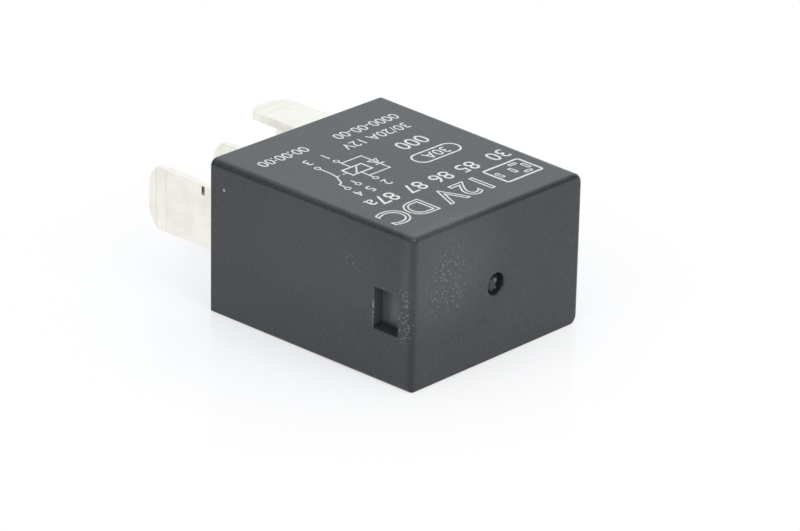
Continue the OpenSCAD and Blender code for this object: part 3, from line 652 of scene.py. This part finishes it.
# %% End face and gate mark
# the well's profile: over its lip, down the wall, along the bottom, up the stub and to its middle
WELL_RADIUS = np.array([
    1.215, 1.13, 1.085, 1.06, 1.05, 1.03, 0.98, 0.86, 0.74, 0.68, STUB_R / MM, 0.35, 0,
]) * MM
WELL_DEPTH = np.array([0, 0.015, 0.07, 0.16, 0.7, 0.82, 0.85, 0.85, 0.8, 0.5, 0.2, 0.12, 0.18]) * MM
RAGGED = 0.1          # how far the stub's outline wanders, as a share of its radius
TEAR = 0.1 * MM       # how far its torn top rises and falls


def gate_rows(outline):
    """Rings from the end face's outline inwards. On the face a ring lies between outline and well. In
    the well it is a circle with the profile's radius and depth, whose middle drifts to the stub; sine
    waves round the circle make the stub's outline ragged and its top torn."""
    from_gate = outline[:, [0, 2]] - GATE
    angle = np.arctan2(from_gate[:, 1], from_gate[:, 0])
    ray = np.stack([np.cos(angle), np.sin(angle)], axis=-1)
    lip = GATE + (GATE_R + 0.14 * MM) * ray
    share = np.array([0.02, 0.1, 0.3, 0.55, 0.8, 0.96])[:, None, None]
    face = outline[None, :, [0, 2]] * (1 - share) + lip[None] * share
    face_y = np.full(face.shape[:2], END_Y)
    drift = np.interp(WELL_RADIUS, [STUB_R, 1.0 * MM], [1, 0])[:, None, None]
    ragged = 1 + RAGGED * drift[..., 0] * (np.sin(3 * angle) + 0.6 * np.sin(7 * angle + 1))
    well = GATE + drift * STUB_SHIFT + (WELL_RADIUS[:, None] * ragged)[..., None] * ray
    on_stub = (WELL_RADIUS[:, None] < STUB_R + 0.03 * MM) & (WELL_RADIUS[:, None] > 0)
    torn = TEAR * drift[..., 0] * np.sin(5 * angle + 2) * on_stub
    well_y = END_Y + WELL_DEPTH[:, None] + torn
    flat = np.concatenate([face, well])
    y = np.concatenate([face_y, np.broadcast_to(well_y, well.shape[:2])])
    return np.stack([flat[..., 0], y, flat[..., 1]], axis=-1)


outside = outside_rows()
inside = inside_rows()
ceiling_middle = inside[:1] * [0, 1, 0] + [0, 0, LABEL_Z / 2]
shell = np.concatenate([ceiling_middle, inside, outside, gate_rows(outside[-1])])
cover = mesh_object("cover_shell", shell, grid_faces(shell.shape[0], shell.shape[1], True))
cover.data.materials.append(cover_plastic)
follow_big_faces(cover)
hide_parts("cover")
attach(cover, BODY)
print("cover shell", len(cover.data.polygons), "faces,", shell.shape[0], "rows")

# %% [markdown]
# ## A moulding pip
# An ejector left one tiny raised pip on the narrow side, near the label. It is half a flattened
# sphere, a grid of heights and angles, and its plastic is painted paler than the rest: a painted
# highlight where the pip catches the light.

# %% Pip on the narrow side
def dome(centre, radius, rise):
    """Half a flattened sphere that faces -X: circles of radius cos(h), at a height of sin(h)."""
    h = np.radians(np.linspace(-20, 90, 12))[:, None]
    a = np.radians(np.linspace(0, 360, 24, endpoint=False))[None]
    return np.stack([
        centre[0] - rise * np.sin(h) + 0 * a,
        centre[1] + radius * np.cos(h) * np.cos(a),
        centre[2] + radius * np.cos(h) * np.sin(a),
    ], axis=-1)


PIP_AT = np.array([0, RIM_Y - 1.8 * MM, 12.7 * MM])
PIP_AT[0] = -HALF_W + lean(PIP_AT[1])
PIP_RISE = 0.95 * lean(PIP_AT[1])
PIP_R = 0.16 * MM
# painted highlight: the pip's two pale tones stand in for the light it catches
PIP_HIGHLIGHT_DIM, PIP_HIGHLIGHT_BRIGHT = (0.24, 0.25, 0.26), (0.46, 0.48, 0.49)
pip_points = dome(PIP_AT, PIP_R, PIP_RISE)
pip = mesh_object("moulding_pip", pip_points, grid_faces(*pip_points.shape[:2], True))
pip_plastic, tree, shader, place = finish("pip_plastic")
highlight_mottle = noise(tree, place, 0.1 * MM)
tree.links.new(
    blend_colours(tree, between(tree, highlight_mottle, 0.35, 0.65), PIP_HIGHLIGHT_DIM, PIP_HIGHLIGHT_BRIGHT),
    shader.inputs["Base Color"],
)
shader.inputs["Roughness"].default_value = 0.35
pip.data.materials.append(pip_plastic)
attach(pip, BODY)
print("pip stands", round(PIP_RISE / MM, 3), "mm proud")

# %% [markdown]
# ## Pieces that keep the frame's shape
# The base, blades, magnet and contacts already have their true shape in the frame, but with edges as
# sharp as a drawing. Each is copied, its loose triangles are merged into clean faces, and a narrow
# bevel breaks its edges, as punching, moulding and tumbling do. The blades' two corners at the tip
# are rounded more, so that they slip into a socket.

# %% Copy a frame piece and break its edges
SHORT = 0.5 * MM      # an edge across the strip at a blade's tip is shorter than this
SHARP_ANGLE, BEVEL_ANGLE = math.radians(30), math.radians(35)
EDGE = 0.06 * MM


def dressed(node, material, edge=EDGE, body=BODY, steps=2, tip_round=0.0):
    """A copy of a frame node with merged faces and edges rounded to the given width. A blade's two
    corners at its tip, the short edges at the piece's greatest y, can be rounded more."""
    work = bmesh.new()
    work.from_mesh(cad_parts[node].data)
    bmesh.ops.remove_doubles(work, verts=work.verts, dist=2e-7)
    bmesh.ops.dissolve_limit(
        work, angle_limit=math.radians(0.5), verts=work.verts, edges=work.edges
    )
    if tip_round:
        reach = max(vertex.co.y for vertex in work.verts) - 0.001 * MM
        corners = [line for line in work.edges
                   if line.calc_length() < SHORT and min(v.co.y for v in line.verts) > reach]
        bmesh.ops.bevel(
            work, geom=corners, offset=tip_round, segments=5, profile=0.5, affect="EDGES",
            clamp_overlap=True,
        )
    mesh = bpy.data.meshes.new(node + "_finished")
    work.to_mesh(mesh)
    work.free()
    mesh.polygons.foreach_set("use_smooth", np.ones(len(mesh.polygons), bool))
    mesh.set_sharp_from_angle(angle=SHARP_ANGLE)
    mesh.materials.clear()
    mesh.materials.append(material)
    piece = placed(node + "_finished", mesh)
    bevel = piece.modifiers.new("broken edges", "BEVEL")
    bevel.width = edge
    bevel.segments = steps
    bevel.limit_method = "ANGLE"
    bevel.angle_limit = BEVEL_ANGLE
    bevel.use_clamp_overlap = True
    bevel.harden_normals = True
    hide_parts(node)
    if body:
        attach(piece, body)
    return piece


print("broken edges are", EDGE / MM, "mm wide where a piece doesn't say otherwise")

# %% Blades, base, magnet and contacts
for blade in ("coil_terminal_1", "coil_terminal_2", "common_terminal_3", "closed_terminal_4",
              "open_terminal_5"):
    plating = coil_tin if blade.startswith("coil") else tin
    dressed(blade, plating, edge=0.09 * MM, steps=3, tip_round=0.8 * MM)
dressed("base", base_plastic, edge=0.08 * MM)
dressed("terminal_rivets", steel, edge=0.12 * MM, steps=3)
dressed("spring_rivets", steel, edge=0.12 * MM, steps=3)
dressed("yoke", iron, edge=0.1 * MM)
dressed("core", iron, edge=0.1 * MM)
dressed("bobbin", bobbin_plastic, edge=0.1 * MM)
dressed("diode", diode_plastic, edge=0.03 * MM)
dressed("diode_leads", lead_wire, edge=0.04 * MM)
dressed("closed_contact", silver, edge=0.06 * MM)
dressed("open_contact", silver, edge=0.06 * MM)
dressed("armature", iron, edge=0.1 * MM, body=ARMATURE)
dressed("armature_rivets", steel, edge=0.12 * MM, body=ARMATURE, steps=3)
dressed("moving_contact", silver, edge=0.06 * MM, body=ARMATURE)

# %% [markdown]
# ## The leaf spring
# The spring's leg is riveted to the still yoke and its strip to the armature, so its two narrow loops
# flex when the armature moves. Here it is only copied with broken edges, kept out of both bodies, and
# its place is baked into its points.

# %% Leaf spring
spring = dressed("contact_spring", bronze, edge=0.03 * MM, body=None)
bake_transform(spring)

# %% [markdown]
# ## The winding
# The outer layer of the coil is some sixty turns of fine wire lying side by side, with two ends led to
# the terminals. The frame's piece keeps its shape; the turns are ridges in the enamel's shading, a
# wave along the coil's axis, as a drawn thread is on a screw.

# %% Winding
WIRE = 0.17 * MM
tree, shader, place = made_before(copper)
ridges = add(
    tree, "TexWave", {"wave_type": "BANDS", "bands_direction": "Y", "wave_profile": "SIN"},
    Vector=place, Scale=2 * math.pi / (20 * WIRE), Distortion=0.0,
).outputs["Fac"]
bumps(tree, shader, ridges, 0.04 * MM)
dressed("coil_winding", copper, edge=0.02 * MM)
coil_low, coil_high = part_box("coil_winding")
print("about", round((coil_high.y - coil_low.y) / WIRE), "turns in the outer layer")

# %% [markdown]
# ## Marks on the label
# The marks are burnt into the dark plastic by a laser, which leaves them pale grey and a hair proud.
# Each one is a closed sliver of mesh that rises a hundredth of a millimetre above the leaning label.
# They read along -X and their tops point to -Y, so a flat drawing in (u, v) is turned half round and
# then laid on the slope.

# %% Lay flat shapes on the label
MARK_TOP = 0.012 * MM
LABEL_MIDDLE_Y = (RIM_Y + END_Y) / 2
marks = []


def on_label(points, centre):
    """Points (u, v, height) as one reads the label, in metres, moved to a centre (u, v) in millimetres
    from the label's middle, turned half round and laid on the slope: the label's height plus theirs."""
    x = -(centre[0] * MM + points[..., 0])
    y = LABEL_MIDDLE_Y - (centre[1] * MM + points[..., 1])
    return np.stack([x, y, LABEL_Z - lean(y) + points[..., 2]], axis=-1)


print("marks rise", MARK_TOP / MM, "mm")

# %% [markdown]
# A line is a ribbon along a path. It could be a curve with a bevel, but a ribbon lies flat, keeps its
# width round a corner and has only four faces to each stretch.

# %% Lines and circles
SHARPEST = 0.4        # cosine of half a bend past which a mitre grows no longer


def ribbon(path, width, closed=False):
    """A flat strip along a path of (u, v) points: two edges half a width to each side of it, moved out
    by the mitre 1 / cos(half the bend) at each corner, with a top and a buried bottom."""
    path = np.asarray(path, float)
    if closed:
        steps = np.roll(path, -1, axis=0) - path
        ahead = steps / np.linalg.norm(steps, axis=1, keepdims=True)
        behind = np.roll(ahead, 1, axis=0)
    else:
        steps = np.diff(path, axis=0)
        unit = steps / np.linalg.norm(steps, axis=1, keepdims=True)
        ahead = np.concatenate([unit, unit[-1:]])
        behind = np.concatenate([unit[:1], unit])
    middle = ahead + behind
    middle = middle / np.linalg.norm(middle, axis=1, keepdims=True)
    mitre = 1 / np.maximum(np.sum(middle * ahead, axis=1), SHARPEST)
    side = np.stack([-middle[:, 1], middle[:, 0]], axis=-1) * (mitre * width / 2)[:, None]
    left, right = path + side, path - side
    top, bottom = np.full((len(path), 1), MARK_TOP), np.full((len(path), 1), -MARK_TOP)
    rows = np.stack([np.hstack(pair) for pair in
                     ((left, top), (right, top), (right, bottom), (left, bottom))], axis=1)
    if closed:
        return np.concatenate([rows, rows[:1]])
    return np.concatenate([
        rows[:1].mean(axis=1, keepdims=True).repeat(4, axis=1), rows,
        rows[-1:].mean(axis=1, keepdims=True).repeat(4, axis=1),
    ])


def draw(name, path, width=0.16, closed=False):
    """A line on the label through (u, v) places in millimetres, of a width in millimetres."""
    rows = on_label(ribbon(np.asarray(path, float) * MM, width * MM, closed), (0, 0))
    marks.append(mesh_object(name, rows, grid_faces(len(rows), 4, True)))


def ring(centre, radius, count=20):
    """Points round a circle: its centre plus radius times cosine and sine."""
    a = np.linspace(0, 2 * np.pi, count, endpoint=False)
    return np.stack([centre[0] + radius * np.cos(a), centre[1] + radius * np.sin(a)], axis=-1)


print("a circle has", len(ring((0, 0), 1)), "points")

# %% [markdown]
# ## Words and numbers
# Lettering starts as a text curve, which is made a mesh with a little thickness and then laid on the
# slope. The large word is drawn in outline: the curve isn't filled, and a thin bevel follows it.

# %% Lettering
CAPITAL = 0.72        # height of a capital in a font of size 1


def write(name, body, centre, size, outline=0.0, squeeze=1.0, heavy=0.0):
    """Lettering centred at (u, v) millimetres whose capitals are size millimetres high. Outline gives
    the width of its stroke where only the letters' edges are drawn, squeeze narrows the letters, and
    heavy thickens them."""
    curve = bpy.data.curves.new(name, "FONT")
    curve.body = body
    curve.size = 1.0
    if outline:
        curve.fill_mode = "NONE"
        curve.bevel_depth = outline / size * CAPITAL / 2
        curve.bevel_resolution = 1
    else:
        curve.extrude = 0.01    # any thickness will do, because the letters are pressed flat below
        curve.offset = heavy
    made = placed(name, curve)
    mesh = bpy.data.meshes.new_from_object(made.evaluated_get(bpy.context.evaluated_depsgraph_get()))
    bpy.data.objects.remove(made)
    points = np.empty(len(mesh.vertices) * 3)
    mesh.vertices.foreach_get("co", points)
    points = points.reshape(-1, 3)
    low, high = points.min(axis=0), points.max(axis=0)
    points -= (low + high) / 2
    points[:, :2] *= size * MM / (high[1] - low[1]) * np.array([squeeze, 1])
    points[:, 2] *= MARK_TOP / (high[2] - low[2]) * 2
    mesh.vertices.foreach_set("co", on_label(points, centre).ravel())
    work = bmesh.new()
    work.from_mesh(mesh)
    bmesh.ops.remove_doubles(work, verts=work.verts, dist=1e-7)
    bmesh.ops.recalc_face_normals(work, faces=work.faces)
    work.to_mesh(mesh)
    work.free()
    marks.append(placed(name, mesh))
    return (high[0] - low[0]) * size / (high[1] - low[1]) * squeeze


wide = write("word_supply", "12V DC", (3.6, 8.1), 3.1, outline=0.2)
write("numbers_clock", "00:00:00", (6.25, -8.5), 1.25)
write("numbers_date", "0000-00-00", (-4.65, -8.5), 1.25)
write("rating", "30/20A 12V", (-3.6, -6.2), 1.25)
write("numbers_code", "000", (-4.95, -2.85), 1.75)
write("rating_in_frame", "30A", (-4.75, 0.4), 1.3)
for number, u in (("30", -8.5), ("85", -4.4), ("86", -0.9), ("87", 2.6), ("87a", 6.8)):
    write("terminal_number_" + number, number, (u, 4.65), 1.75)
print("the large word is", round(wide, 1), "mm wide")

# %% [markdown]
# ## The wiring sketch
# Such a relay carries a sketch of its own circuit: the coil with its diode between terminals 1 and 2,
# and the contact that swings from 4 to 5. It is lines, small circles and numbers.

# %% Wiring sketch
TERMINALS = {"3": ((5.89, -4.45), (5.65, -5.95)), "1": ((3.45, -4.45), (3.45, -5.85)),
             "4": ((7.21, 0.69), (7.25, 2.15)), "5": ((5.75, 0.61), (5.75, 2.15)),
             "2": ((3.59, 0.69), (3.55, 2.05))}
for number, (dot, beside) in TERMINALS.items():
    draw("terminal_dot_" + number, ring(dot, 0.27), 0.13, closed=True)
    write("sketch_number_" + number, number, beside, 1.15)
draw("contact_arm", [
    (5.89, -4.18), (5.89, -2.75), (6.05, -1.85), (6.75, -0.55), (7.15, -0.45), (7.19, 0.42),
])
draw("contact_stub", [(5.75, -0.35), (5.75, 0.34)])
draw("coil_box", [(4.65, -1.11), (2.15, -1.11), (2.15, -2.55), (4.65, -2.55)], 0.2, closed=True)
draw("coil_stroke", [(4.15, -1.15), (2.85, -2.51)])
draw("coil_wire_1", [(3.45, -4.18), (3.45, -2.63)])
draw("coil_wire_2", [(3.59, -1.03), (3.59, 0.42)])
draw("link_a", [(6.05, -1.85), (5.6, -1.85)], 0.12)
draw("link_b", [(5.3, -1.85), (4.75, -1.85)], 0.12)
draw("diode_branch", [(3.37, -3.81), (0.85, -3.81), (0.85, -0.1), (3.51, -0.1)])
draw("diode_triangle", [(1.4, -2.45), (0.3, -2.45), (0.85, -1.5)], 0.14, closed=True)
draw("diode_bar", [(1.4, -1.4), (0.3, -1.4)])
print("sketch has", len(TERMINALS), "terminals")

# %% [markdown]
# ## Frames
# The rating sits in a frame with round ends. In the corner is a small plan of the five terminals as
# seen from below, in the outline of the base. A frame is one closed path: quarter circles joined
# by straight lines.

# %% Rating frame and terminal plan
def rounded_path(centre, width, height, radius, steps=8):
    """Quarter circles at the four corners of a rectangle, joined by its sides."""
    angle = np.radians(np.linspace(0, 90, steps + 1)[None] + np.array([[0], [90], [180], [270]]))
    cx = centre[0] + np.array([[1], [-1], [-1], [1]]) * (width / 2 - radius)
    cy = centre[1] + np.array([[1], [1], [-1], [-1]]) * (height / 2 - radius)
    return np.stack([cx + radius * np.cos(angle), cy + radius * np.sin(angle)], axis=-1).reshape(-1, 2)


draw("rating_frame", rounded_path((-4.75, 0.4), 5.7, 2.05, 1.0), 0.2, closed=True)
PLAN_AT = (-6.85, 8.05)
draw("plan_frame", rounded_path(PLAN_AT, 4.7, 3.2, 0.25), 0.24, closed=True)
# each slot's middle from the plan's own, then its size across and along
PLAN = {"3": (-1.75, 0, 0.36, 1.0), "4": (0, 0, 0.36, 1.0), "5": (1.75, 0, 0.36, 1.0),
        "1": (-1.0, 1.0, 0.9, 0.3), "2": (-1.0, -1.0, 0.9, 0.3)}
for slot, (u, v, across, along) in PLAN.items():
    centre = (PLAN_AT[0] + u, PLAN_AT[1] + v)
    draw("plan_slot_" + slot, rounded_path(centre, across, along, 0.1, 3), 0.14, closed=True)
print("frames and plan:", 2 + len(PLAN), "paths")

# %% [markdown]
# The laser's line isn't even: it is made of overlapping dots, so the marks' grey wanders a little.

# %% Finish of the marks
MARK_DARK, MARK_PALE = (0.56, 0.555, 0.54), (0.84, 0.83, 0.81)
mark_ink, tree, shader, place = finish("laser_mark")
dots = noise(tree, place, 0.12 * MM, detail=2.0, roughness=0.6)
tree.links.new(
    blend_colours(tree, between(tree, dots, 0.3, 0.6), MARK_DARK, MARK_PALE),
    shader.inputs["Base Color"],
)
shader.inputs["Roughness"].default_value = 0.6
bumps(tree, shader, dots, 0.008 * MM, 0.5)
for mark in marks:
    mark.data.materials.clear()
    mark.data.materials.append(mark_ink)
    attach(mark, BODY)
print(len(marks), "marks")

# %% [markdown]
# ## The floor
# The relay lies on a white acrylic sheet. The sheet is matt white with a weak mirror on top, so the
# relay's sides show faintly below it. To the camera the floor is partly its own even white. That
# share grows with the distance from the relay, which keeps the soft shadow beside the relay and lets
# the sheet run out to plain white.

# %% Floor
FLOOR_HALF = 3.0
ACRYLIC = (0.93, 0.945, 0.975, 1)
WHITE_FROM, WHITE_TO = 14 * MM, 36 * MM          # distance from the middle of the relay's footprint
SHARE_NEAR, SHARE_FAR, SHARE_MIRRORED = 0.58, 1.0, 0.6

floor_mesh = bpy.data.meshes.new("floor")
corners = [(x * FLOOR_HALF, y * FLOOR_HALF, 0) for x, y in ((-1, -1), (1, -1), (1, 1), (-1, 1))]
floor_mesh.from_pydata(corners, [], [(0, 1, 2, 3)])
floor = placed("floor", floor_mesh)
acrylic, tree, shader, place = finish("white_acrylic")
shader.inputs["Base Color"].default_value = ACRYLIC
shader.inputs["Roughness"].default_value = 0.08
shader.inputs["IOR"].default_value = 1.45
glow = add(tree, "Emission", Color=(1, 1, 1, 1), Strength=1.0)
rays = add(tree, "LightPath").outputs
distance = add(tree, "VectorMath", {"operation": "LENGTH"}, in0=place).outputs["Value"]
beyond = add(
    tree, "MapRange", Value=distance, From_Min=WHITE_FROM, From_Max=WHITE_TO,
    To_Min=SHARE_NEAR, To_Max=SHARE_FAR,
).outputs[0]
mirrored = greatest(tree, rays["Is Glossy Ray"], rays["Is Transmission Ray"])
share = greatest(
    tree, product(tree, rays["Is Camera Ray"], beyond), product(tree, mirrored, SHARE_MIRRORED)
)
surface = add(tree, "MixShader", in0=share, in1=shader.outputs[0], in2=glow.outputs[0])
output = next(n for n in tree.nodes if n.type == "OUTPUT_MATERIAL")
tree.links.new(surface.outputs[0], output.inputs["Surface"])
floor.data.materials.append(acrylic)
print("floor", 2 * FLOOR_HALF, "m square")

# %% [markdown]
# ## The light tent
# The sheet lies in a tent of cloth. The cloth is bright behind the relay and overhead, dim on the
# camera's side, and dark elsewhere but for a grey belt 15 to 30 degrees above the sheet. Blades and
# plastic mirror these bands, which gives their faces different tones. The camera itself sees white.

# %% Light tent
BEHIND = Vector((0.72, 0.69, 0.0))     # from the camera's side to the backdrop
# height of the direction, 1 straight up, and how bright the cloth is there
BELT = ((0.0, 0.06), (0.2, 0.06), (0.25, 0.4), (0.5, 0.5), (0.56, 0.12), (0.66, 0.12), (0.74, 0.8))
TENT_WHITE = (0.93, 0.965, 1.0)
FRONT_LEVEL, DIFFUSE_LEVEL = 0.3, 0.85

world = bpy.data.worlds.new("tent")
world.use_nodes = True
tree = world.node_tree
background = tree.nodes["Background"].inputs
direction = add(tree, "TexCoord").outputs["Generated"]
facing = add(
    tree, "VectorMath", {"operation": "DOT_PRODUCT"}, in0=direction, in1=BEHIND
).outputs["Value"]
height = add(tree, "SeparateXYZ", Vector=direction).outputs["Z"]
backdrop = between(tree, facing, 0.35, 0.6)
belt = add(tree, "ValToRGB", Fac=height)
belt.color_ramp.interpolation = "LINEAR"
for at, level in BELT:
    belt.color_ramp.elements.new(at).color = (level, level, level, 1)
front = between(tree, product(tree, facing, -1.0), 0.3, 0.8)
tent = greatest(tree, backdrop, belt.outputs["Color"], product(tree, front, FRONT_LEVEL))
rays = add(tree, "LightPath").outputs
softer = add(
    tree, "MapRange", Value=rays["Is Diffuse Ray"], To_Min=1.0, To_Max=DIFFUSE_LEVEL
).outputs[0]
tent = product(tree, tent, softer)
strength = add(tree, "Mix", {"data_type": "FLOAT"}, in0=rays["Is Camera Ray"], in2=tent, in3=1.0)
tree.links.new(strength.outputs[0], background["Strength"])
tint = blend_colours(tree, rays["Is Camera Ray"], TENT_WHITE, (1, 1, 1))
tree.links.new(tint, background["Color"])
bpy.context.scene.world = world
print("belt of", len(BELT), "levels")

# %% [markdown]
# ## Lamps
# One large lamp hangs above and gives the soft shadow. A small one stands at each side of the camera
# and lights the two faces that it sees.

# %% Lamps
def softbox(name, at, width, height, power):
    """A rectangular lamp at a place, aimed at the middle of the relay."""
    lamp = bpy.data.lights.new(name, "AREA")
    lamp.shape = "RECTANGLE"
    lamp.size, lamp.size_y = width, height
    lamp.energy = power
    made = placed(name, lamp)
    at = Vector(at)
    aim = Vector((0, 0, LABEL_Z / 2)) - at
    made.matrix_world = Matrix.Translation(at) @ aim.to_track_quat("-Z", "Y").to_matrix().to_4x4()


softbox("lamp_above", (0.0, 0.0, 0.8), 0.6, 0.6, 1.1)
softbox("lamp_left", (-0.2, -0.02, 0.17), 0.14, 0.14, 0.17)
softbox("lamp_right", (-0.02, -0.2, 0.17), 0.14, 0.14, 0.19)
bpy.context.scene.view_settings.view_transform = "Standard"
